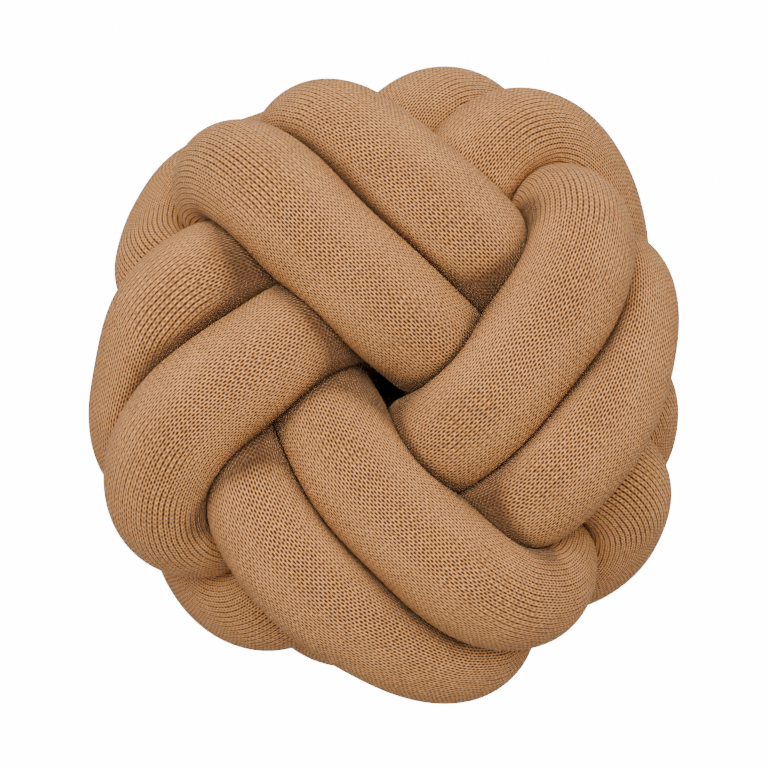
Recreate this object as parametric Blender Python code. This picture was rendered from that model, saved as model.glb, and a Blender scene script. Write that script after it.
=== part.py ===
"""Knot cushion: two stuffed jersey tubes, each joined into a ring, laid side by side in a ball knot.

The pair of tubes goes three times round the ball and four times up and down, always over
one pass and under the next. The face looks up (+Z). The cushion lies on its flattened back,
which is the plane z = 0, and its bounding box is centred on the Z axis.
"""
import math

import bpy
import numpy as np

MM = 0.001

# Sizes of the tubes, metres
TUBE_RADIUS = 0.0274        # stuffed tube where nothing presses on it
SWELL = 0.16                # how much wider a tube gets where half of it is pressed away
SIDE_SPACING = 0.050        # middles of two tubes lying side by side
STACK_SPACING = 0.036       # middles of two tubes pressed one on the other
PIECE_GAP = 0.0015          # cloth to cloth, where two passes touch
HALF_HEIGHT = 0.072         # highest middle line above the mid plane
BACK_PRESS = 0.0195         # lowest middle line above the surface it lies on

# The ball knot before it is drawn tight
TURNS = 3                   # times round the ball
BIGHTS = 4                  # times up and down
BALL_RADIUS = 0.105
BALL_FLATNESS = 0.70        # height of the ball over its width
OVER_UNDER = 0.018          # in and out swing at the crossings
REACH = math.radians(48)    # how far up and down the ball the bands go
FACE_TURN = math.radians(-37)

# Drawing tight
STATIONS = 160              # points along each tube's middle line
DRAWN_LENGTH = 1.85         # length each tube is drawn towards; the packed passes hold it at 2.3 m
SAME_PASS = 5               # stations along a tube that belong to one pass
FIRST_ROUNDS = 400
LAY_PASSES = 12
ROUNDS_PER_LAY = 21
LAY_PULL = 0.25
STIFFNESS = 0.25
LAY_SPREAD = 3              # stations each side that follow a laid point
HEIGHT_SHARE = 0.8          # how much height counts when the station nearest to a lay is sought

# Where the passes lie, seen from above, millimetres from the middle, and about how high
# above the mid plane each one is there. On the face, A runs from upper left to right, B from
# upper right down, C from lower right to the left, and D from lower left up. Tube 0 is the
# inner one of each pair and tube 1 the outer one. The side rows are passes round the edge.
LAYS = (
    # pass, tube, x, y, height
    ("A start", 0, -68, 96, 50),
    ("A", 0, -55, 84, 70),
    ("A over D", 0, -38, 67, 75),
    ("A over D", 0, -16, 49, 75),
    ("A", 0, 5, 33, 70),
    ("A end", 0, 23, 20, 55),
    ("A start", 1, -21, 115, 35),
    ("A", 1, -6, 106, 55),
    ("A over D", 1, 12, 90, 70),
    ("A", 1, 30, 73, 70),
    ("A end", 1, 46, 59, 60),
    ("B start", 0, 89, 70, 50),
    ("B", 0, 84, 49, 70),
    ("B over A", 0, 73, 23, 75),
    ("B over A", 0, 57, 0, 70),
    ("B", 0, 38, -19, 65),
    ("B end", 0, 19, -30, 45),
    ("B start", 1, 109, 46, 15),
    ("B over A", 1, 110, 22, 35),
    ("B over A", 1, 103, -5, 55),
    ("B", 1, 88, -29, 60),
    ("B end", 1, 69, -50, 55),
    ("C end", 0, -32, -8, 40),
    ("C", 0, -18, -32, 60),
    ("C over B", 0, 0, -54, 70),
    ("C over B", 0, 22, -75, 75),
    ("C", 0, 45, -91, 65),
    ("C start", 0, 71, -95, 35),
    ("C end", 1, -68, -43, 45),
    ("C", 1, -55, -67, 60),
    ("C over B", 1, -36, -89, 70),
    ("C over B", 1, -16, -108, 60),
    ("C", 1, 8, -122, 45),
    ("C start", 1, 32, -128, 25),
    ("D end", 0, -29, 30, 45),
    ("D over C", 0, -58, 14, 60),
    ("D over C", 0, -82, -2, 70),
    ("D", 0, -99, -20, 70),
    ("D", 0, -106, -40, 65),
    ("D start", 0, -102, -55, 50),
    ("D end", 1, -75, 53, 50),
    ("D over C", 1, -94, 37, 55),
    ("D", 1, -107, 15, 45),
    ("D start", 1, -109, -5, 35),
    ("north side", 1, 27, 129, -15),
    ("north side", 1, 34, 131, -25),
    ("north-east side", 0, 56, 113, 15),
    ("north-east side", 0, 73, 113, 5),
    ("north-east side", 0, 88, 107, -10),
    ("north-east side", 0, 98, 96, -25),
    ("north-west side", 0, -99, 71, -30),
    ("north-west side", 0, -102, 83, -35),
    ("north-west side", 0, -99, 98, -45),
    ("north-west side", 0, -82, 114, -50),
    ("west side", 1, -108, 45, -50),
    ("west side", 1, -112, 35, -55),
    ("D side", 1, -109, -29, 10),
    ("D side", 0, -91, -63, 25),
    ("south-west side", 0, -82, -93, -30),
    ("south-west side", 0, -75, -97, -20),
    ("south-west side", 0, -66, -101, -10),
    ("south-west side", 0, -56, -102, 0),
    ("south side", 1, -22, -112, -35),
    ("south-east side", 0, 110, -56, 0),
    ("south-east side", 0, 112, -65, -5),
)

# How far the cushion reaches in each direction, millimetres from the middle, seen from above
RIM = (
    # direction, reach
    ("north", 150),
    ("north-north-east", 168),
    ("north-east", 168),
    ("east-north-east", 158),
    ("east", 143),
    ("east-south-east", 150),
    ("south-east", 161),
    ("south-south-east", 164),
    ("south", 162),
    ("south-south-west", 149),
    ("south-west", 154),
    ("west-south-west", 148),
    ("west", 140),
    ("west-north-west", 141),
    ("north-west", 156),
    ("north-north-west", 147),
)

# Mesh of each tube
RINGS = 200
SIDES = 14
LOOK_AHEAD = 3              # finer stations per station where passes are compared

KNIT = {
    "tube_one": (0.552, 0.316, 0.150),
    "tube_two": (0.552, 0.316, 0.150),
}


def unit(vectors):
    """Vectors of length one."""
    return vectors / np.linalg.norm(vectors, axis=-1, keepdims=True)


def along(path):
    """Directions along a closed path."""
    return unit(np.roll(path, -1, axis=0) - np.roll(path, 1, axis=0))


def loose_knot():
    """Middle lines of the two tubes, side by side on the loose ball."""
    turn = np.linspace(0, 2 * math.pi, STATIONS, endpoint=False)
    azimuth = TURNS * turn - FACE_TURN
    rise = REACH * np.cos(BIGHTS * turn)
    reach = BALL_RADIUS - OVER_UNDER * np.sin(2 * BIGHTS * turn)
    middle = np.stack(
        [
            reach * np.cos(rise) * np.sin(azimuth),
            reach * np.cos(rise) * np.cos(azimuth),
            reach * np.sin(rise) * BALL_FLATNESS,
        ],
        axis=1,
    )
    sideways = unit(np.cross(along(middle), unit(middle)))
    half = SIDE_SPACING / 2
    return np.concatenate([middle + half * sideways, middle - half * sideways])


def pairs_in_one_pass():
    """Pairs of stations of one tube that are near each other along it."""
    tube = np.arange(2 * STATIONS) // STATIONS
    place = np.arange(2 * STATIONS) % STATIONS
    apart = np.abs(place[:, None] - place[None])
    apart = np.minimum(apart, STATIONS - apart)
    return (tube[:, None] == tube[None]) & (apart <= SAME_PASS)


def push_apart(points, one_pass):
    """Move each station away from the passes it crowds."""
    centre = points.mean(axis=0)
    between = points[:, None] - points[None]
    distance = np.sqrt((between ** 2).sum(axis=-1)) + 1e-9
    outward = (points[:, None] + points[None]) / 2 - centre
    outward[..., 2] /= BALL_FLATNESS ** 2
    outward /= np.linalg.norm(outward, axis=-1, keepdims=True) + 1e-9
    direction = between / distance[..., None]
    stacked = (direction * outward).sum(axis=-1) ** 2
    wanted = SIDE_SPACING + (STACK_SPACING - SIDE_SPACING) * stacked
    crowding = np.where(one_pass, 0, np.maximum(0, wanted - distance))
    count = (crowding > 0).sum(axis=1)
    push = (direction * crowding[..., None] * 0.5).sum(axis=1)
    share = 0.8 * np.minimum(count, 2) / np.maximum(1, count)
    return points + push * share[:, None]


def smooth_tube(path):
    """Take out kinks and draw the tube in."""
    step = DRAWN_LENGTH / STATIONS
    bend = (np.roll(path, -1, axis=0) + np.roll(path, 1, axis=0)) / 2 - path
    kink = (np.roll(bend, -1, axis=0) + np.roll(bend, 1, axis=0)) / 2 - bend
    path = path - STIFFNESS * kink
    links = np.roll(path, -1, axis=0) - path
    lengths = np.linalg.norm(links, axis=1, keepdims=True)
    pull = links * (1 - step / lengths) * 0.25
    return path + pull - np.roll(pull, 1, axis=0)


def press_in(points):
    """Keep the tubes inside the cushion's outline."""
    reach = np.hypot(points[:, 0], points[:, 1])
    azimuth = np.degrees(np.arctan2(points[:, 0], points[:, 1]))
    directions = np.arange(len(RIM)) * 360 / len(RIM)
    rim = np.array([row[1] for row in RIM]) * MM
    limit = np.interp(azimuth, directions, rim, period=360) - TUBE_RADIUS
    over = np.maximum(0, reach - limit)
    points[:, :2] *= (1 - over / 2 / reach)[:, None]
    return points


def draw_tight(points, rounds, one_pass, laid=None):
    """Ease the passes into place, held to the cushion's height and to the laid points."""
    for _ in range(rounds):
        points = push_apart(points, one_pass)
        for _ in range(3):
            one = smooth_tube(points[:STATIONS])
            two = smooth_tube(points[STATIONS:])
            points = np.concatenate([one, two])
        height = points[:, 2]
        points[:, 2] = (height + np.clip(height, -HALF_HEIGHT, HALF_HEIGHT)) / 2
        if laid is not None:
            points += LAY_PULL * (laid - points)
            points = press_in(points)
    return points


def laid_points(points):
    """Where the lays pull the stations nearest to them."""
    pull = np.zeros((2 * STATIONS, 2))
    weight = np.zeros(2 * STATIONS)
    for _, tube, x, y, height in LAYS:
        path = points[tube * STATIONS:(tube + 1) * STATIONS]
        miss = np.array([x, y]) * MM - path[:, :2]
        level = np.abs(path[:, 2] - height * MM)
        distance = np.hypot(miss[:, 0], miss[:, 1]) + HEIGHT_SHARE * level
        nearest = int(distance.argmin())
        for offset in range(-LAY_SPREAD, LAY_SPREAD + 1):
            share = 1 - abs(offset) / (LAY_SPREAD + 1)
            station = tube * STATIONS + (nearest + offset) % STATIONS
            pull[station] += share * miss[nearest]
            weight[station] += share
    laid = points.copy()
    held = weight > 0
    laid[held, :2] += pull[held] / weight[held, None]
    return laid


def tight_knot():
    """Middle lines of the two tubes in the finished cushion."""
    one_pass = pairs_in_one_pass()
    points = draw_tight(loose_knot(), FIRST_ROUNDS, one_pass)
    for _ in range(LAY_PASSES):
        points = draw_tight(points, ROUNDS_PER_LAY, one_pass, laid_points(points))
    return points[:STATIONS], points[STATIONS:]


def resample(path, count):
    """A smooth closed path through the stations, read at even steps along it."""
    dense_count = 16 * len(path)
    spectrum = np.fft.fft(path, axis=0)
    wide = np.zeros((dense_count, 3), complex)
    half = len(path) // 2
    wide[:half] = spectrum[:half]
    wide[-half:] = spectrum[-half:]
    dense = np.fft.ifft(wide, axis=0).real * (dense_count / len(path))
    closed = np.vstack([dense, dense[:1]])
    run = np.concatenate([[0], np.cumsum(np.linalg.norm(np.diff(closed, axis=0), axis=1))])
    steps = np.linspace(0, run[-1], count, endpoint=False)
    return np.stack([np.interp(steps, run, closed[:, axis]) for axis in range(3)], axis=1)


def ring_axes(path):
    """Two axes across the tube at each point, with no twist left at the join."""
    forward = along(path)
    first = np.zeros_like(path)
    seed = np.cross(forward[0], [0.0, 0.0, 1.0])
    first[0] = seed / np.linalg.norm(seed)
    for index in range(1, len(path)):
        carried = first[index - 1] - forward[index] * (first[index - 1] @ forward[index])
        first[index] = carried / np.linalg.norm(carried)
    last = first[-1] - forward[0] * (first[-1] @ forward[0])
    last /= np.linalg.norm(last)
    twist = math.atan2(np.cross(last, first[0]) @ forward[0], last @ first[0])
    angle = (twist * np.arange(len(path)) / len(path))[:, None]
    second = np.cross(forward, first)
    turned = first * np.cos(angle) + second * np.sin(angle)
    return turned, np.cross(forward, turned)


def tube_reach(path, spokes, others, lengths_apart, floor):
    """How far each spoke of each ring reaches before it meets another pass or the floor."""
    walls = np.full(spokes.shape[:2], 2 * TUBE_RADIUS)
    for index, centre in enumerate(path):
        away = others - centre
        distance = np.linalg.norm(away, axis=1)
        close = (distance < 2.5 * TUBE_RADIUS) & (lengths_apart[index] > 1.6 * TUBE_RADIUS)
        if close.any():
            toward = away[close] / distance[close, None]
            facing = spokes[index] @ toward.T
            wall = (distance[close] - PIECE_GAP) / 2
            limit = np.where(facing > 0.05, wall / np.maximum(facing, 0.05), 2 * TUBE_RADIUS)
            walls[index] = limit.min(axis=1)
    down = np.minimum(spokes[..., 2], -1e-6)
    to_floor = (path[:, None, 2] - floor) / -down
    walls = np.minimum(walls, to_floor)
    filled = (np.minimum(walls, TUBE_RADIUS) ** 2).mean(axis=1) / TUBE_RADIUS ** 2
    for _ in range(4):
        filled = (np.roll(filled, 1) + 2 * filled + np.roll(filled, -1)) / 4
    reach = np.minimum(walls, (TUBE_RADIUS * (1 + 2 * SWELL * (1 - filled)))[:, None])
    soft = reach.copy()
    for _ in range(2):
        soft = (np.roll(soft, 1, axis=1) + 2 * soft + np.roll(soft, -1, axis=1)) / 4
        soft = (np.roll(soft, 1, axis=0) + 2 * soft + np.roll(soft, -1, axis=0)) / 4
        soft = np.minimum(soft, reach)
    return soft


def tube_rings(which, paths, floor):
    """Points of the tube's surface, ring by ring."""
    path = paths[which]
    across, beside = ring_axes(path)
    angles = np.linspace(0, 2 * math.pi, SIDES, endpoint=False)
    spokes = across[:, None] * np.cos(angles)[None, :, None]
    spokes = spokes + beside[:, None] * np.sin(angles)[None, :, None]
    fine = [resample(each, RINGS * LOOK_AHEAD) for each in paths]
    others = np.concatenate(fine)
    step = np.linalg.norm(fine[which][1] - fine[which][0])
    here = np.arange(RINGS)[:, None] * LOOK_AHEAD
    there = np.arange(RINGS * LOOK_AHEAD)[None]
    apart = np.abs(here - there)
    apart = np.minimum(apart, RINGS * LOOK_AHEAD - apart) * step
    far = np.full_like(apart, 10.0)
    lengths_apart = np.concatenate([apart, far] if which == 0 else [far, apart], axis=1)
    reach = tube_reach(path, spokes, others, lengths_apart, floor)
    return path[:, None] + spokes * reach[..., None]


def add_tube(name, rings, shift):
    """One closed stuffed tube as an object."""
    points = (rings + shift).reshape(-1, 3)
    faces = []
    for ring in range(RINGS):
        following = (ring + 1) % RINGS
        for side in range(SIDES):
            beside = (side + 1) % SIDES
            faces.append(
                (
                    ring * SIDES + side,
                    ring * SIDES + beside,
                    following * SIDES + beside,
                    following * SIDES + side,
                )
            )
    mesh = bpy.data.meshes.new(name)
    mesh.from_pydata([tuple(point) for point in points], [], faces)
    mesh.update()
    mesh.shade_smooth()
    material = bpy.data.materials.new(name + "_jersey")
    material.use_nodes = True
    shader = material.node_tree.nodes["Principled BSDF"]
    shader.inputs["Base Color"].default_value = (*KNIT[name], 1.0)
    shader.inputs["Roughness"].default_value = 0.92
    shader.inputs["Metallic"].default_value = 0.0
    mesh.materials.append(material)
    tube = bpy.data.objects.new(name, mesh)
    bpy.context.scene.collection.objects.link(tube)
    return tube


def build():
    for existing in list(bpy.data.objects):
        bpy.data.objects.remove(existing, do_unlink=True)
    paths = [resample(path, RINGS) for path in tight_knot()]
    floor = min(path[:, 2].min() for path in paths) - BACK_PRESS
    rings = [tube_rings(which, paths, floor) for which in (0, 1)]
    points = np.concatenate([tube.reshape(-1, 3) for tube in rings])
    low = points.min(axis=0)
    high = points.max(axis=0)
    shift = -np.array([(low[0] + high[0]) / 2, (low[1] + high[1]) / 2, low[2]])
    for name, tube in zip(("tube_one", "tube_two"), rings):
        add_tube(name, tube, shift)


build()
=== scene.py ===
import math

import bpy
import numpy as np
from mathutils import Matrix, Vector


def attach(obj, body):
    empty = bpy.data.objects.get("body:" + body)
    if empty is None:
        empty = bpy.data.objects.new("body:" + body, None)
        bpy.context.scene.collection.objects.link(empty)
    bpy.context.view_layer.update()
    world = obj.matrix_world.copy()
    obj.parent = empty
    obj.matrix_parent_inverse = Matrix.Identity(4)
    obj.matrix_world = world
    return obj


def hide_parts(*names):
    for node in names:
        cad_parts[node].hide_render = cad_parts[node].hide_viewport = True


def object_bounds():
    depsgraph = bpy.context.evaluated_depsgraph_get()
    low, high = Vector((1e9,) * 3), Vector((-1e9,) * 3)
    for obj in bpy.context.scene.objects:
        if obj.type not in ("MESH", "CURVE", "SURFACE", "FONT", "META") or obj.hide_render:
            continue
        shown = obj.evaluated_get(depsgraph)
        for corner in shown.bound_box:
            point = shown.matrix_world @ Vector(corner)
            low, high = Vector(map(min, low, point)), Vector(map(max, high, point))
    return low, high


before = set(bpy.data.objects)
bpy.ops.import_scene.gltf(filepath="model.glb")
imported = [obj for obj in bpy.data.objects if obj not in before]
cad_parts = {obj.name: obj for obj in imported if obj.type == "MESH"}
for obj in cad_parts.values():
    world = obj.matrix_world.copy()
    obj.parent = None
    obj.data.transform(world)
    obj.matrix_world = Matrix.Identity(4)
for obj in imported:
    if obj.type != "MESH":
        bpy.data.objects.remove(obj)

CAD_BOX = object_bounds()
MM = 0.001

# ---------------------------------------------------------------- the knot, as in the solids
# Sizes of the tubes (all lengths in this file are in metres unless they say otherwise)
TUBE_RADIUS = 0.0274        # stuffed tube where nothing presses on it
SWELL = 0.16                # how much wider a tube gets where half of it is pressed away
SIDE_SPACING = 0.050        # middles of two tubes lying side by side
STACK_SPACING = 0.036       # middles of two tubes pressed one on the other
PIECE_GAP = 0.0003          # cloth to cloth, where two passes touch
HALF_HEIGHT = 0.072         # highest middle line above the mid plane
BACK_PRESS = 0.0195         # lowest middle line above the surface it lies on

# The ball knot before it is drawn tight
TURNS = 3                   # times round the ball
BIGHTS = 4                  # times up and down
BALL_RADIUS = 0.105
BALL_FLATNESS = 0.70        # height of the ball over its width
OVER_UNDER = 0.018          # in and out swing at the crossings
REACH = math.radians(48)    # how far up and down the ball the bands go
FACE_TURN = math.radians(-37)   # brings the face to where the photo has it

# Drawing tight
STATIONS = 160              # points along each tube's middle line
DRAWN_LENGTH = 1.85         # length each tube is drawn towards; its passes hold it at 2.3 m
SAME_PASS = 5               # stations along a tube that belong to one pass
FIRST_ROUNDS = 400          # before the passes are led to their places
LAY_PASSES = 12             # how often those places are looked up
ROUNDS_PER_LAY = 21         # and the rounds after each time
PUSH_SHARE = 0.8            # share of the crowding that one round clears
SMOOTHINGS = 3              # in each round
STIFFNESS = 0.25            # share of each kink that one smoothing takes out
LINK_PULL = 0.25            # and of each link's stretch
LAY_PULL = 0.25             # share of the way to its place that a laid point goes in a round
LAY_SPREAD = 3              # stations each side that follow a laid point
HEIGHT_SHARE = 0.8          # how much height counts in finding the station nearest to a lay
NEVER_ZERO = 1e-9           # kept under what is divided by

# Where the passes lie, seen from above, millimetres from the middle, and about how high
# above the mid plane each one is there. On the face, A runs from upper left to right, B from
# upper right down, C from lower right to the left, and D from lower left up. Tube 0 is the
# inner one of each pair and tube 1 the outer one. The side rows are passes round the edge.
LAYS = (
    # pass, tube, x, y, height
    ("A start", 0, -68, 96, 50),
    ("A", 0, -55, 84, 70),
    ("A over D", 0, -38, 67, 75),
    ("A over D", 0, -16, 49, 75),
    ("A", 0, 5, 33, 70),
    ("A end", 0, 23, 20, 55),
    ("A start", 1, -21, 115, 35),
    ("A", 1, -6, 106, 55),
    ("A over D", 1, 12, 90, 70),
    ("A", 1, 30, 73, 70),
    ("A end", 1, 46, 59, 60),
    ("B start", 0, 89, 70, 50),
    ("B", 0, 84, 49, 70),
    ("B over A", 0, 73, 23, 75),
    ("B over A", 0, 57, 0, 70),
    ("B", 0, 38, -19, 65),
    ("B end", 0, 19, -30, 45),
    ("B start", 1, 109, 46, 15),
    ("B over A", 1, 110, 22, 35),
    ("B over A", 1, 103, -5, 55),
    ("B", 1, 88, -29, 60),
    ("B end", 1, 69, -50, 55),
    ("C end", 0, -32, -8, 40),
    ("C", 0, -18, -32, 60),
    ("C over B", 0, 0, -54, 70),
    ("C over B", 0, 22, -75, 75),
    ("C", 0, 45, -91, 65),
    ("C start", 0, 71, -95, 35),
    ("C end", 1, -68, -43, 45),
    ("C", 1, -55, -67, 60),
    ("C over B", 1, -36, -89, 70),
    ("C over B", 1, -16, -108, 60),
    ("C", 1, 8, -122, 45),
    ("C start", 1, 32, -128, 25),
    ("D end", 0, -29, 30, 45),
    ("D over C", 0, -58, 14, 60),
    ("D over C", 0, -82, -2, 70),
    ("D", 0, -99, -20, 70),
    ("D", 0, -106, -40, 65),
    ("D start", 0, -102, -55, 50),
    ("D end", 1, -75, 53, 50),
    ("D over C", 1, -94, 37, 55),
    ("D", 1, -107, 15, 45),
    ("D start", 1, -109, -5, 35),
    ("north side", 1, 27, 129, -15),
    ("north side", 1, 34, 131, -25),
    ("north-east side", 0, 56, 113, 15),
    ("north-east side", 0, 73, 113, 5),
    ("north-east side", 0, 88, 107, -10),
    ("north-east side", 0, 98, 96, -25),
    ("north-west side", 0, -99, 71, -30),
    ("north-west side", 0, -102, 83, -35),
    ("north-west side", 0, -99, 98, -45),
    ("north-west side", 0, -82, 114, -50),
    ("west side", 1, -108, 45, -50),
    ("west side", 1, -112, 35, -55),
    ("D side", 1, -109, -29, 10),
    ("D side", 0, -91, -63, 25),
    ("south-west side", 0, -82, -93, -30),
    ("south-west side", 0, -75, -97, -20),
    ("south-west side", 0, -66, -101, -10),
    ("south-west side", 0, -56, -102, 0),
    ("south side", 1, -22, -112, -35),
    ("south-east side", 0, 110, -56, 0),
    ("south-east side", 0, 112, -65, -5),
)

# How far the cushion reaches in each direction, millimetres from the middle, seen from above
RIM = (
    # direction, reach
    ("north", 150),
    ("north-north-east", 168),
    ("north-east", 168),
    ("east-north-east", 158),
    ("east", 143),
    ("east-south-east", 150),
    ("south-east", 161),
    ("south-south-east", 164),
    ("south", 162),
    ("south-south-west", 149),
    ("south-west", 154),
    ("west-south-west", 148),
    ("west", 140),
    ("west-north-west", 141),
    ("north-west", 156),
    ("north-north-west", 147),
)

# ---------------------------------------------------------------- the fine tubes
RINGS = 960                 # rings along a tube
SIDES = 96                  # points round a ring
DENSE = 16                  # points per station where lengths are measured
PASS_POINTS = 800           # points per tube where passes are compared
OTHER_PASS = 1.6 * TUBE_RADIUS  # length of tube between two places on different passes
OTHER_TUBE = 10.0           # stands for that length between two tubes
WALL_SPAN = 2.5 * TUBE_RADIUS   # how far apart the middles of passes that touch can be
NO_WALL = 2 * TUBE_RADIUS   # reach of a tube that nothing stops
GRAZING = 0.05              # least share of a spoke that points at a wall it meets
BARELY_DOWN = -1e-6         # slope of a spoke that just misses the surface below
CREASE_ROUND = 0.0036       # how softly a tube turns into a crease
BASE_ROUND = 0.002          # how softly it turns onto the surface that it lies on
LEAN = 0.06                 # lean of the inner tube of two, as a share of the way to the outer
LEAN_ANGLE = math.radians(14)   # between two tubes, seen from the middle, for a full lean
LUMPS = 0.0016              # unevenness of the filling, lowest to highest
LUMP_SEEDS = (13, 37)       # one for each tube
BEND_SPAN = 5               # rings each way over which a bend is measured

# Passes of softer() over each field
LUMP_EVENING = 120
FILL_EVENING = 27
ROW_EVENING = 27
BEND_EVENING = 20
WALL_EVENING = 6
FINE_EVENING = 3

# How much passes shut off the light from one another
RIM_HEIGHT = 0.045          # height over the mid plane where the side turns into the face
NOOK_SPAN = 4 * TUBE_RADIUS     # how far off a pass can shut off a place
NOOK_DEPTH = 2.0            # how strongly passes shut places off
NOOK_LEAN = 0.25            # how much more the outer tube of two is shut off
NOOK_BESIDE = 0.15          # how much a pass alongside counts, where one that crosses is 1
NOOK_RISE = 0.25            # how far it counts as crossing if it lies a tube's radius higher
NOOK_LIFT = 0.6             # where a pass shades from, over its middle line, in tube radii
WELL_RADIUS = 0.045         # how far the shade of the gap in the middle of a face reaches
WELL_DEPTH = 0.25

# ---------------------------------------------------------------- the knit
WALES = 62                  # stitch columns round a tube
COURSE_PITCH = 0.00278      # stitch rows along a tube, on the side that faces out
BAKE_STRIPS = 4             # lengths that a tube is cut into on its baking map
BAKE_EDGE = 0.01            # margin round each of them, as a share of its size

YARN = (0.36, 0.141, 0.040, 1.0)
# Painted highlight on the stitch legs, and paler places of the yarn's tone
YARN_PALE_AND_HIGHLIGHT = (0.92, 0.415, 0.13, 1.0)
PAINTED_HOLE_SHADE = (0.055, 0.014, 0.002, 1.0)   # painted shade in the gaps between the stitches
PAINTED_SHADE_COLOUR = (0.060, 0.025, 0.011, 1.0)   # painted shade, where passes shut one another off from the light
FUZZ = (1.0, 0.54, 0.24, 1.0)       # loose fibres, as sheen

CLOTH = {
    "Roughness": 0.9,
    "Specular IOR Level": 0.25,
    "Sheen Weight": 0.7,
    "Sheen Roughness": 0.12,
    "Sheen Tint": FUZZ,
}
YARN_RELIEF = 0.0009        # depth of the knit's bump, metres

# Noise, as its waves a metre (a stitch, for the fourth), its detail and its roughness
SWAY = (70.0, 2.0, 0.5)         # columns and ribs wander
DRIFT = (110.0, 2.0, 0.5)       # rows wander
TONE = (45.0, 3.0, 0.5)         # paler and darker places
PROUD = (1.1, 1.0, 0.5)         # some stitches stand out more than others
FIBRE = (1900.0, 3.0, 0.65)     # single fibres

SWAY_OF_COLUMNS = 0.55      # in columns
SWAY_OF_RIBS = 0.8          # in tightness of bend
DRIFT_OF_ROWS = 0.8         # in rows
LEG_SLANT = 0.16            # of a stitch's legs, in rows
RIBBED_BEND = (0.42, 0.80)      # tube radius over bend radius where ribs begin, and are full
RIBBED_CROWDING = (0.80, 0.50)  # the same, as the stretch of the rows

# What the weave is made of: how strong each wave is in plain knit, and what ribs add to that
LEG_WAVE = (-0.52, 0.16)        # two legs to a stitch
STITCH_WAVE = (-0.56, 0.22)     # stitches in columns and rows
COLUMN_WAVE = (0.0, -0.38)      # whole columns, as ribs
PROUD_WAVE = 0.55
FIBRE_WAVE = 0.75

# Between which values each of these goes from none to full
RELIEF_RANGE = (-1.0, 0.55)     # height, by the weave
HOLE_RANGE = (-0.85, 0.15)      # painted hole shade to yarn, by the weave
PALE_RANGE = (0.0, 0.75)        # yarn to painted highlight on the stitch legs, by the weave
TONE_RANGE = (0.3, 0.7)         # the same, by the noise for its tone
NOOK_RANGE = (0.02, 0.46)       # cloth to painted shade, by how far passes shut it off
WEAVE_SHARE = 0.88              # of a yarn's paleness, what comes from the weave, as painted highlight
TONE_SHARE = 0.12               # and what comes from its tone
NOOK_DARKEST = 0.85             # share of painted shade in a place that is fully shut off

# ---------------------------------------------------------------- the studio
CAMERA_PLACE = (-0.0020, -0.0020)
CAMERA_DISTANCE = 1.6       # from the level where the photo's scale was taken
SCALE_LEVEL = 0.095
VIEW_WIDTH = 768 * 0.492 * MM   # pixels across, and millimetres a pixel at that level
KEY_PLACE = (-0.04, 0.45, 2.1)
KEY_AIM = (0, 0, 0.05)
KEY_SIZE = 1.8              # across
KEY_POWER = 90              # watts
SKY_COLOUR = (0.88, 0.98, 1.2, 1.0)
SKY_STRENGTH = 0.20
SKY_GLOW = 14.5             # what only the camera sees besides, for the photo's white ground
FLOOR_GLOW = 14.0
FLOOR_HALF = 3.0
FLOOR_PALE = (0.82, 0.82, 0.82, 1.0)
FLOOR_PAINTED_SHADE = (0.02, 0.02, 0.02, 1.0)    # painted shade under the gap in the cushion's middle
DARK_EDGE = (0.04, 0.12)    # where that painted shade begins to fade, and where it ends
FLOOR_ROUGHNESS = 0.9


def unit(vectors):
    """Vectors drawn out or in to a length of 1."""
    return vectors / np.linalg.norm(vectors, axis=-1, keepdims=True)


def along(path):
    """The way ahead at each point of a closed path."""
    return unit(np.roll(path, -1, axis=0) - np.roll(path, 1, axis=0))


def loose_knot():
    """Both tubes of the Turk's-head knot, side by side on a flattened ball."""
    turn = np.linspace(0, 2 * math.pi, STATIONS, endpoint=False)
    azimuth = TURNS * turn - FACE_TURN
    rise = REACH * np.cos(BIGHTS * turn)
    reach = BALL_RADIUS - OVER_UNDER * np.sin(2 * BIGHTS * turn)
    middle = np.stack(
        [
            reach * np.cos(rise) * np.sin(azimuth),
            reach * np.cos(rise) * np.cos(azimuth),
            reach * np.sin(rise) * BALL_FLATNESS,
        ],
        axis=1,
    )
    sideways = unit(np.cross(along(middle), unit(middle)))
    half = SIDE_SPACING / 2
    return np.concatenate([middle + half * sideways, middle - half * sideways])


def pairs_in_one_pass():
    """Which pairs of stations lie on one pass of one tube, and so don't push."""
    tube = np.arange(2 * STATIONS) // STATIONS
    place = np.arange(2 * STATIONS) % STATIONS
    apart = np.abs(place[:, None] - place[None])
    apart = np.minimum(apart, STATIONS - apart)
    return (tube[:, None] == tube[None]) & (apart <= SAME_PASS)


def push_apart(points, one_pass):
    """Move crowded passes apart, each by half: stacked ones may lie closer than ones beside."""
    centre = points.mean(axis=0)
    between = points[:, None] - points[None]
    distance = np.sqrt((between ** 2).sum(axis=-1)) + NEVER_ZERO
    outward = (points[:, None] + points[None]) / 2 - centre
    outward[..., 2] /= BALL_FLATNESS ** 2
    outward /= np.linalg.norm(outward, axis=-1, keepdims=True) + NEVER_ZERO
    direction = between / distance[..., None]
    stacked = (direction * outward).sum(axis=-1) ** 2
    wanted = SIDE_SPACING + (STACK_SPACING - SIDE_SPACING) * stacked
    crowding = np.where(one_pass, 0, np.maximum(0, wanted - distance))
    count = (crowding > 0).sum(axis=1)
    push = (direction * crowding[..., None] * 0.5).sum(axis=1)
    share = PUSH_SHARE * np.minimum(count, 2) / np.maximum(1, count)
    return points + push * share[:, None]


def smooth_tube(path):
    """Take out kinks and draw the tube towards its length."""
    step = DRAWN_LENGTH / STATIONS
    bend = (np.roll(path, -1, axis=0) + np.roll(path, 1, axis=0)) / 2 - path
    kink = (np.roll(bend, -1, axis=0) + np.roll(bend, 1, axis=0)) / 2 - bend
    path = path - STIFFNESS * kink
    links = np.roll(path, -1, axis=0) - path
    lengths = np.linalg.norm(links, axis=1, keepdims=True)
    pull = links * (1 - step / lengths) * LINK_PULL
    return path + pull - np.roll(pull, 1, axis=0)


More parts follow.
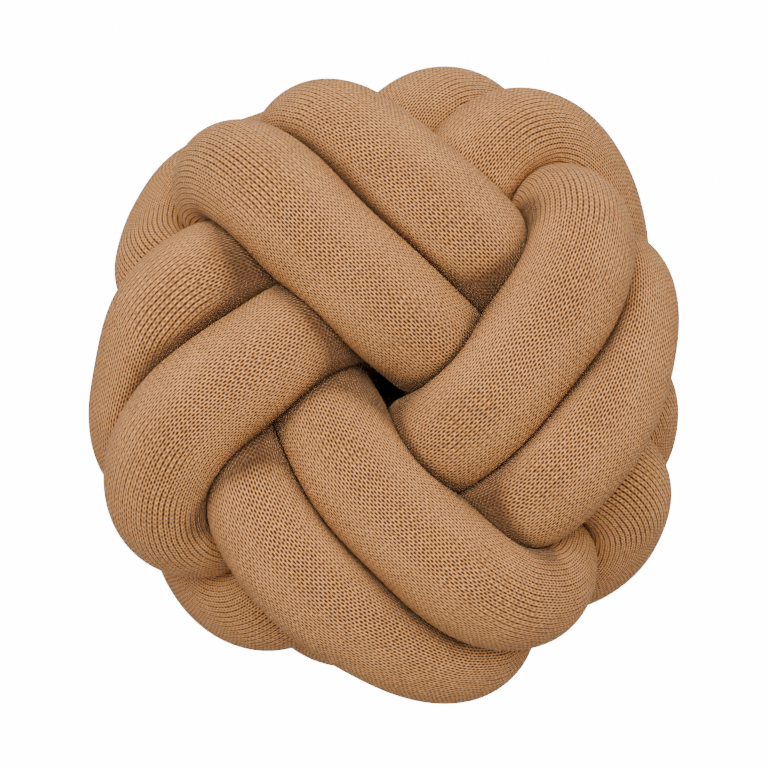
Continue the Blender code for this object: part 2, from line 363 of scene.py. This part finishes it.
def press_in(points):
    """Bring back half way what stands out past the rim."""
    reach = np.hypot(points[:, 0], points[:, 1])
    azimuth = np.degrees(np.arctan2(points[:, 0], points[:, 1]))
    directions = np.arange(len(RIM)) * 360 / len(RIM)
    rim = np.array([row[1] for row in RIM]) * MM
    limit = np.interp(azimuth, directions, rim, period=360) - TUBE_RADIUS
    over = np.maximum(0, reach - limit)
    points[:, :2] *= (1 - over / 2 / reach)[:, None]
    return points


def draw_tight(points, rounds, one_pass, laid=None):
    """Rounds of pushing, smoothing and flattening, led to the laid points if there are any."""
    for _ in range(rounds):
        points = push_apart(points, one_pass)
        for _ in range(SMOOTHINGS):
            one = smooth_tube(points[:STATIONS])
            two = smooth_tube(points[STATIONS:])
            points = np.concatenate([one, two])
        height = points[:, 2]
        points[:, 2] = (height + np.clip(height, -HALF_HEIGHT, HALF_HEIGHT)) / 2
        if laid is not None:
            points += LAY_PULL * (laid - points)
            points = press_in(points)
    return points


def laid_points(points):
    """Where each station would go for its tube to pass over its lays."""
    pull = np.zeros((2 * STATIONS, 2))
    weight = np.zeros(2 * STATIONS)
    for _, tube, x, y, height in LAYS:
        path = points[tube * STATIONS:(tube + 1) * STATIONS]
        miss = np.array([x, y]) * MM - path[:, :2]
        level = np.abs(path[:, 2] - height * MM)
        distance = np.hypot(miss[:, 0], miss[:, 1]) + HEIGHT_SHARE * level
        nearest = int(distance.argmin())
        for offset in range(-LAY_SPREAD, LAY_SPREAD + 1):
            share = 1 - abs(offset) / (LAY_SPREAD + 1)
            station = tube * STATIONS + (nearest + offset) % STATIONS
            pull[station] += share * miss[nearest]
            weight[station] += share
    laid = points.copy()
    held = weight > 0
    laid[held, :2] += pull[held] / weight[held, None]
    return laid


def tight_knot():
    """The middle lines of both tubes in the finished knot."""
    one_pass = pairs_in_one_pass()
    points = draw_tight(loose_knot(), FIRST_ROUNDS, one_pass)
    for _ in range(LAY_PASSES):
        points = draw_tight(points, ROUNDS_PER_LAY, one_pass, laid_points(points))
    return points[:STATIONS], points[STATIONS:]


def resample(path, count):
    """A closed path in evenly spaced points, smooth between its own."""
    dense_count = DENSE * len(path)
    spectrum = np.fft.fft(path, axis=0)
    wide = np.zeros((dense_count, 3), complex)
    half = len(path) // 2
    wide[:half] = spectrum[:half]
    wide[-half:] = spectrum[-half:]
    dense = np.fft.ifft(wide, axis=0).real * (dense_count / len(path))
    closed = np.vstack([dense, dense[:1]])
    run = np.concatenate([[0], np.cumsum(np.linalg.norm(np.diff(closed, axis=0), axis=1))])
    steps = np.linspace(0, run[-1], count, endpoint=False)
    return np.stack([np.interp(steps, run, closed[:, axis]) for axis in range(3)], axis=1)


def ring_axes(path):
    """Two directions across the path at each point, carried along it with an even twist."""
    forward = along(path)
    first = np.zeros_like(path)
    seed = np.cross(forward[0], [0.0, 0.0, 1.0])
    first[0] = seed / np.linalg.norm(seed)
    for index in range(1, len(path)):
        carried = first[index - 1] - forward[index] * (first[index - 1] @ forward[index])
        first[index] = carried / np.linalg.norm(carried)
    last = first[-1] - forward[0] * (first[-1] @ forward[0])
    last /= np.linalg.norm(last)
    twist = math.atan2(np.cross(last, first[0]) @ forward[0], last @ first[0])
    angle = (twist * np.arange(len(path)) / len(path))[:, None]
    second = np.cross(forward, first)
    turned = first * np.cos(angle) + second * np.sin(angle)
    return turned, np.cross(forward, turned)


def softer(field, passes):
    """Even out a field over the tube's surface."""
    for _ in range(passes):
        field = (np.roll(field, 1, axis=1) + 2 * field + np.roll(field, -1, axis=1)) / 4
        field = (np.roll(field, 1, axis=0) + 2 * field + np.roll(field, -1, axis=0)) / 4
    return field


def lumps(seed):
    """How far the filling lies out or in over a tube, at random."""
    field = softer(np.random.default_rng(seed).normal(size=(RINGS, SIDES)), LUMP_EVENING)
    return LUMPS * ((field - field.min()) / (field.max() - field.min()) - 0.5)


def soft_least(one, other, width):
    """The lesser of two lengths, eased over where they are nearly the same."""
    blend = np.maximum(0, width - np.abs(one - other)) / width
    return np.minimum(one, other) - blend * blend * width / 4


def nearer_the_middle(centre, others):
    """From -1 to 1: how much nearer a place lies to the middle of its face than others do."""
    here = math.atan2(math.hypot(centre[0], centre[1]), abs(centre[2]))
    there = np.arctan2(np.hypot(others[:, 0], others[:, 1]), np.abs(others[:, 2]))
    return np.tanh((there - here) / LEAN_ANGLE)


def wall_share(centre, away, distance):
    """A tube's share of the way to its neighbours: the inner of two side by side has more."""
    outward = unit(centre + away / 2)
    stacked = ((away * outward).sum(axis=-1) / distance) ** 2
    return 0.5 + LEAN * nearer_the_middle(centre, centre + away) * (1 - stacked)


def close_passes(centre, others, lengths_apart, span):
    """Which points lie within a span of a place, on other passes."""
    distance = np.linalg.norm(others - centre, axis=1)
    return (distance < span) & (lengths_apart > OTHER_PASS)


def walls_round(path, spokes, others, lengths_apart):
    """How far each spoke can reach before it meets a neighbour's wall."""
    walls = np.full(spokes.shape[:2], NO_WALL)
    for index, centre in enumerate(path):
        close = close_passes(centre, others, lengths_apart[index], WALL_SPAN)
        if close.any():
            away = others[close] - centre
            distance = np.linalg.norm(away, axis=1)
            facing = spokes[index] @ (away / distance[:, None]).T
            wall = distance * wall_share(centre, away, distance) - PIECE_GAP / 2
            limit = np.where(facing > GRAZING, wall / np.maximum(facing, GRAZING), NO_WALL)
            walls[index] = limit.min(axis=1)
    return walls


def tube_reach(path, spokes, walls, floor, uneven):
    """How far a stuffed tube reaches along each spoke."""
    down = np.minimum(spokes[..., 2], BARELY_DOWN)
    to_floor = (path[:, None, 2] - floor) / -down
    pressed = np.minimum(walls, to_floor)
    filled = (np.minimum(pressed, TUBE_RADIUS) ** 2).mean(axis=1) / TUBE_RADIUS ** 2
    filled = softer(filled[:, None], FILL_EVENING)[:, 0]
    full = (TUBE_RADIUS * (1 + 2 * SWELL * (1 - filled)))[:, None] + uneven
    reach = soft_least(walls, full, CREASE_ROUND)
    reach = np.minimum(softer(reach, WALL_EVENING), walls)
    return np.minimum(soft_least(reach, to_floor, BASE_ROUND), to_floor)


def passes_near(which, paths):
    """Points along both tubes, and how far along the tube each is from each ring."""
    fine = [resample(each, PASS_POINTS) for each in paths]
    step = np.linalg.norm(fine[which][1] - fine[which][0])
    here = np.arange(RINGS)[:, None] * PASS_POINTS / RINGS
    there = np.arange(PASS_POINTS)[None]
    apart = np.abs(here - there)
    apart = np.minimum(apart, PASS_POINTS - apart) * step
    far = np.full_like(apart, OTHER_TUBE)
    lengths_apart = np.concatenate([apart, far] if which == 0 else [far, apart], axis=1)
    return np.concatenate(fine), lengths_apart


def tube_rings(which, paths, floor):
    """The surface of a tube, ring by ring, and how shut off each point of it is."""
    path = paths[which]
    across, beside = ring_axes(path)
    angles = np.linspace(0, 2 * math.pi, SIDES, endpoint=False)
    spokes = across[:, None] * np.cos(angles)[None, :, None]
    spokes = spokes + beside[:, None] * np.sin(angles)[None, :, None]
    others, lengths_apart = passes_near(which, paths)
    walls = walls_round(path, spokes, others, lengths_apart)
    reach = tube_reach(path, spokes, walls, floor, lumps(LUMP_SEEDS[which]))
    points = path[:, None] + spokes * reach[..., None]
    return points, shut_off(path, points, others, lengths_apart)


def bend_tightness(path):
    """Tube radius over bend radius at each ring, evened out along the tube."""
    onward = np.roll(path, -BEND_SPAN, axis=0) - path
    ahead = unit(onward)
    behind = unit(path - np.roll(path, BEND_SPAN, axis=0))
    run = np.linalg.norm(onward, axis=1)
    tightness = TUBE_RADIUS * np.linalg.norm(ahead - behind, axis=1) / run
    return softer(tightness[:, None], BEND_EVENING)


def away_from_middle(path):
    """The way out of the cushion at each place on a tube: up, down, or sideways at its rim."""
    outward = path - path.mean(axis=0)
    height = outward[:, 2] / RIM_HEIGHT
    outward[:, 2] = 0
    outward = unit(outward) * np.maximum(0, 1 - height ** 2)[:, None]
    outward[:, 2] = height * np.abs(height)
    return unit(outward)


def shut_off(path, points, others, lengths_apart):
    """How much other passes shut each point off from the open space round the cushion, with the
    shade of the gap in the middle of each face: the amount of painted shade for the cloth.
    """
    step = NOOK_DEPTH * np.linalg.norm(others[1] - others[0])
    taken = np.zeros(points.shape[:2])
    open_way = away_from_middle(path)
    tops = others + NOOK_LIFT * TUBE_RADIUS * away_from_middle(others)
    forward = along(path)
    runs = np.concatenate([along(half) for half in np.split(others, 2)])
    for index, centre in enumerate(path):
        close = close_passes(centre, others, lengths_apart[index], NOOK_SPAN)
        toward = tops[close] - points[index][:, None]
        span = np.linalg.norm(toward, axis=-1)
        outward = unit(points[index] - centre)[:, None]
        facing = np.maximum(0, (toward * outward).sum(axis=-1) / span)
        under = -nearer_the_middle(centre, others[close])
        above = np.maximum(0, toward @ open_way[index] / span + NOOK_LEAN * under)
        crossing = 1 - (runs[close] @ forward[index]) ** 2
        rise = np.clip((others[close] - centre) @ open_way[index] / TUBE_RADIUS, 0, 1)
        weight = NOOK_BESIDE + (1 - NOOK_BESIDE) * np.maximum(crossing, NOOK_RISE * rise)
        taken[index] = (weight * facing * above * TUBE_RADIUS * step / span ** 2).sum(axis=-1)
    well = np.maximum(0, 1 - np.hypot(points[..., 0], points[..., 1]) / WELL_RADIUS) ** 2
    return softer(taken, FINE_EVENING) + WELL_DEPTH * well


def counted_rows(path, points):
    """Stitch rows up to each ring, even on the side that faces out, and each point's stretch."""
    facing = ((points - path[:, None]) * away_from_middle(path)[:, None]).sum(axis=-1)
    share = np.maximum(0, facing) ** 2
    spacing = np.linalg.norm(np.roll(points, -1, axis=0) - points, axis=-1)
    drawn = (spacing * share).sum(axis=1) / share.sum(axis=1)
    drawn = softer(drawn[:, None], ROW_EVENING)
    rows = np.concatenate([[0], np.cumsum(drawn)])
    rows *= round(rows[-1] / COURSE_PITCH) / rows[-1]
    return rows, softer(spacing / drawn, FINE_EVENING)


def counted_columns(points):
    """How far round the tube each point lies, from 0 to 1, by the length of cloth up to it."""
    steps = softer(np.linalg.norm(np.roll(points, -1, axis=1) - points, axis=-1), FINE_EVENING)
    around = np.concatenate([np.zeros((RINGS, 1)), np.cumsum(steps, axis=1)], axis=1)
    around /= around[:, -1:]
    around -= (around[:, :-1] - np.arange(SIDES) / SIDES).mean(axis=1, keepdims=True)
    return around


def fill_in(layer, key, values):
    """Write numbers into a mesh layer all at once."""
    kind = np.int32 if key == "vertex_index" else np.float32
    layer.foreach_set(key, values.reshape(-1).astype(kind))


def add_tube(name, path, points, painted_shade):
    """A fine closed tube with its stitches counted round and along it."""
    ring, side = np.meshgrid(np.arange(RINGS), np.arange(SIDES), indexing="ij")
    ring_at = np.stack([ring, ring, ring + 1, ring + 1], axis=-1).reshape(-1)
    side_at = np.stack([side, side + 1, side + 1, side], axis=-1).reshape(-1)
    mesh = bpy.data.meshes.new(name)
    mesh.vertices.add(RINGS * SIDES)
    fill_in(mesh.vertices, "co", points)
    mesh.loops.add(len(ring_at))
    fill_in(mesh.loops, "vertex_index", ring_at % RINGS * SIDES + side_at % SIDES)
    mesh.polygons.add(RINGS * SIDES)
    mesh.polygons.foreach_set("loop_start", np.arange(0, len(ring_at), 4, dtype=np.int32))
    mesh.update(calc_edges=True)

    rows, stretch = counted_rows(path, points)
    columns = WALES * counted_columns(points)[ring_at % RINGS, side_at]
    layer = mesh.uv_layers.new(name="Knit")
    fill_in(layer.uv, "vector", np.stack([columns, rows[ring_at]], axis=-1))

    per_strip = RINGS // BAKE_STRIPS
    strip = np.repeat(ring.reshape(-1) // per_strip, 4)
    inside = 1 - 2 * BAKE_EDGE
    bake_u = (strip + BAKE_EDGE + side_at / SIDES * inside) / BAKE_STRIPS
    bake_v = BAKE_EDGE + (ring_at - strip * per_strip) / per_strip * inside
    layer = mesh.uv_layers.new(name="OFBake")
    fill_in(layer.uv, "vector", np.stack([bake_u, bake_v], axis=-1))

    bend = np.broadcast_to(bend_tightness(path), stretch.shape)
    # The last of these fields is painted shade: darker in creases, under crossing passes and
    # round the gap in the middle of each face
    for label, field in (("Stretch", stretch), ("Bend", bend), ("PaintedShade", painted_shade)):
        layer = mesh.attributes.new(label, "FLOAT", "POINT")
        fill_in(layer.data, "value", field)
    mesh.validate()
    mesh.shade_smooth()
    tube = bpy.data.objects.new(name, mesh)
    bpy.context.scene.collection.objects.link(tube)
    return tube


class Maker:
    """Short names for building a node tree."""

    def __init__(self, tree):
        self.tree = tree

    def node(self, kind, **settings):
        made = self.tree.nodes.new(kind)
        for key, value in settings.items():
            setattr(made, key, value)
        return made

    def put(self, socket, value):
        """Link a socket to another, or give it a number or colour."""
        if isinstance(value, bpy.types.NodeSocket):
            self.tree.links.new(value, socket)
        else:
            socket.default_value = value

    def calc(self, operation, first, second=0.0, third=0.0):
        made = self.node("ShaderNodeMath", operation=operation)
        for index, value in enumerate((first, second, third)):
            self.put(made.inputs[index], value)
        return made.outputs[0]

    def spread(self, value, ends, to_high=1.0):
        """From 0 at the first end to to_high at the second, eased at both."""
        made = self.node("ShaderNodeMapRange", interpolation_type="SMOOTHSTEP")
        self.put(made.inputs["Value"], value)
        self.put(made.inputs["From Min"], ends[0])
        self.put(made.inputs["From Max"], ends[1])
        self.put(made.inputs["To Max"], to_high)
        return made.outputs["Result"]

    def mix(self, factor, first, second):
        """The first colour where the factor is 0, the second where it is 1."""
        made = self.node("ShaderNodeMix", data_type="RGBA")
        self.put(made.inputs["Factor"], factor)
        self.put(made.inputs["A"], first)
        self.put(made.inputs["B"], second)
        return made.outputs["Result"]

    def noise(self, vector, kind):
        made = self.node("ShaderNodeTexNoise")
        self.put(made.inputs["Vector"], vector)
        for name, value in zip(("Scale", "Detail", "Roughness"), kind):
            self.put(made.inputs[name], value)
        return made.outputs["Fac"]

    def wobble(self, vector, kind):
        """Noise to either side of zero."""
        return self.calc("SUBTRACT", self.noise(vector, kind), 0.5)

    def field(self, name):
        """A number kept on the mesh."""
        return self.node("ShaderNodeAttribute", attribute_name=name).outputs["Fac"]

    def wave(self, value, waves):
        return self.calc("COSINE", self.calc("MULTIPLY", value, waves * 2 * math.pi))


def knit_weave(maker, place):
    """How far the yarn stands out: about 1 on a stitch's legs and -1 in the holes."""
    calc = maker.calc
    knit = maker.node("ShaderNodeUVMap", uv_map="Knit").outputs["UV"]
    split = maker.node("ShaderNodeSeparateXYZ")
    maker.put(split.inputs[0], knit)
    sway = maker.wobble(place, SWAY)
    wale = calc("MULTIPLY_ADD", sway, SWAY_OF_COLUMNS, split.outputs["X"])
    row = calc("MULTIPLY_ADD", maker.wobble(place, DRIFT), DRIFT_OF_ROWS, split.outputs["Y"])
    bend = calc("MULTIPLY_ADD", sway, SWAY_OF_RIBS, maker.field("Bend"))
    ribbed = calc(
        "MAXIMUM",
        maker.spread(bend, RIBBED_BEND),
        maker.spread(maker.field("Stretch"), RIBBED_CROWDING),
    )
    tent = calc("ABSOLUTE", calc("MULTIPLY_ADD", calc("FRACT", wale), 2.0, -1.0))
    row = calc("MULTIPLY_ADD", tent, LEG_SLANT, row)
    columns = maker.wave(wale, 1)
    weave = 0.0
    for wave, (plain, ribs) in (
        (maker.wave(wale, 2), LEG_WAVE),
        (calc("MULTIPLY", columns, maker.wave(row, 1)), STITCH_WAVE),
        (columns, COLUMN_WAVE),
    ):
        weave = calc("MULTIPLY_ADD", wave, calc("MULTIPLY_ADD", ribbed, ribs, plain), weave)
    weave = calc("MULTIPLY_ADD", maker.wobble(knit, PROUD), PROUD_WAVE, weave)
    return calc("MULTIPLY_ADD", maker.wobble(place, FIBRE), FIBRE_WAVE, weave)


def jersey():
    """Camel plain knit: slanted yarn legs with painted highlights and small gaps of painted
    shade, painted shade where passes shut one another off, matt and slightly fuzzy.
    """
    material = bpy.data.materials.new("jersey_knit")
    material.use_nodes = True
    tree = material.node_tree
    shader = tree.nodes["Principled BSDF"]
    maker = Maker(tree)
    place = maker.node("ShaderNodeTexCoord").outputs["Object"]
    weave = knit_weave(maker, place)
    tone = maker.spread(maker.noise(place, TONE), TONE_RANGE)
    # Painted highlight on the stitch legs, by the weave, with a little paleness that varies at
    # random by tone
    pale = maker.calc("MULTIPLY", maker.spread(weave, PALE_RANGE), WEAVE_SHARE)
    pale = maker.calc("MULTIPLY_ADD", tone, TONE_SHARE, pale)
    colour = maker.mix(pale, YARN, YARN_PALE_AND_HIGHLIGHT)
    # Painted shade in the gaps between the stitches
    colour = maker.mix(maker.spread(weave, HOLE_RANGE), PAINTED_HOLE_SHADE, colour)
    # Painted shade in creases, under crossing passes and round the gap in the middle of each
    # face
    painted_shade = maker.spread(maker.field("PaintedShade"), NOOK_RANGE, NOOK_DARKEST)
    maker.put(shader.inputs["Base Color"], maker.mix(painted_shade, colour, PAINTED_SHADE_COLOUR))
    bump = maker.node("ShaderNodeBump")
    maker.put(bump.inputs["Strength"], 1.0)
    maker.put(bump.inputs["Distance"], YARN_RELIEF)
    maker.put(bump.inputs["Height"], maker.spread(weave, RELIEF_RANGE))
    maker.put(shader.inputs["Normal"], bump.outputs["Normal"])
    for name, value in CLOTH.items():
        maker.put(shader.inputs[name], value)
    return material


def camera_glow(maker, strength, rest):
    """A strength that only the camera sees, over the rest that lights the scene."""
    seen = maker.node("ShaderNodeLightPath").outputs["Is Camera Ray"]
    return maker.calc("MULTIPLY_ADD", seen, strength, rest)


def add_floor():
    """A pale floor, with painted shade under the cushion's middle."""
    half = FLOOR_HALF
    corners = [(-half, -half, 0), (half, -half, 0), (half, half, 0), (-half, half, 0)]
    mesh = bpy.data.meshes.new("floor")
    mesh.from_pydata(corners, [], [(0, 1, 2, 3)])
    floor = bpy.data.objects.new("floor", mesh)
    material = bpy.data.materials.new("pale_floor")
    material.use_nodes = True
    tree = material.node_tree
    shader = tree.nodes["Principled BSDF"]
    maker = Maker(tree)
    away = maker.node("ShaderNodeVectorMath", operation="LENGTH")
    maker.put(away.inputs[0], maker.node("ShaderNodeTexCoord").outputs["Object"])
    # Painted shade under the gap in the middle, where the camera-only glow stops too
    open_floor = maker.spread(away.outputs["Value"], DARK_EDGE)
    maker.put(shader.inputs["Base Color"], maker.mix(open_floor, FLOOR_PAINTED_SHADE, FLOOR_PALE))
    maker.put(shader.inputs["Roughness"], FLOOR_ROUGHNESS)
    glow = maker.node("ShaderNodeEmission")
    strength = maker.calc("MULTIPLY", camera_glow(maker, FLOOR_GLOW, 0.0), open_floor)
    maker.put(glow.inputs["Strength"], strength)
    both = maker.node("ShaderNodeAddShader")
    maker.put(both.inputs[0], shader.outputs[0])
    maker.put(both.inputs[1], glow.outputs[0])
    maker.put(tree.nodes["Material Output"].inputs["Surface"], both.outputs[0])
    mesh.materials.append(material)
    bpy.context.scene.collection.objects.link(floor)


def add_light():
    """The sky all round, and one large soft light above and behind."""
    world = bpy.data.worlds.new("studio")
    bpy.context.scene.world = world
    world.use_nodes = True
    maker = Maker(world.node_tree)
    sky = world.node_tree.nodes["Background"]
    maker.put(sky.inputs["Color"], SKY_COLOUR)
    maker.put(sky.inputs["Strength"], camera_glow(maker, SKY_GLOW, SKY_STRENGTH))
    light = bpy.data.lights.new("key", "AREA")
    light.shape = "DISK"
    light.size = KEY_SIZE
    light.energy = KEY_POWER
    lamp = bpy.data.objects.new("key", light)
    lamp.location = KEY_PLACE
    way = Vector(KEY_AIM) - Vector(KEY_PLACE)
    lamp.rotation_euler = way.to_track_quat("-Z", "Y").to_euler()
    bpy.context.scene.collection.objects.link(lamp)


def add_camera():
    """Straight above the face, as in the photo."""
    camera = bpy.data.cameras.new("camera")
    camera.sensor_fit = "HORIZONTAL"
    camera.angle = 2 * math.atan(VIEW_WIDTH / 2 / CAMERA_DISTANCE)
    viewer = bpy.data.objects.new("camera", camera)
    viewer.location = (*CAMERA_PLACE, SCALE_LEVEL + CAMERA_DISTANCE)
    bpy.context.scene.collection.objects.link(viewer)
    bpy.context.scene.camera = viewer


def shift_into_frame(rings):
    """Where the knot's own origin lies in the part's frame."""
    points = np.concatenate([tube.reshape(-1, 3) for tube, _ in rings])
    centre = (np.array(CAD_BOX[0]) + np.array(CAD_BOX[1])) / 2
    middle = (points.min(axis=0) + points.max(axis=0)) / 2
    return np.array([centre[0] - middle[0], centre[1] - middle[1], -points[:, 2].min()])


def add_cushion():
    """Both knitted tubes, in place of the part's solids."""
    look = jersey()
    paths = [resample(path, RINGS) for path in tight_knot()]
    floor = min(path[:, 2].min() for path in paths) - BACK_PRESS
    rings = [tube_rings(which, paths, floor) for which in (0, 1)]
    shift = shift_into_frame(rings)
    for name, path, (tube, painted_shade) in zip(("tube_one", "tube_two"), paths, rings):
        piece = add_tube(name + "_knit", path + shift, tube + shift, painted_shade)
        piece.data.materials.append(look)
        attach(piece, "root")
        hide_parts(name)


add_cushion()
add_floor()
add_light()
add_camera()
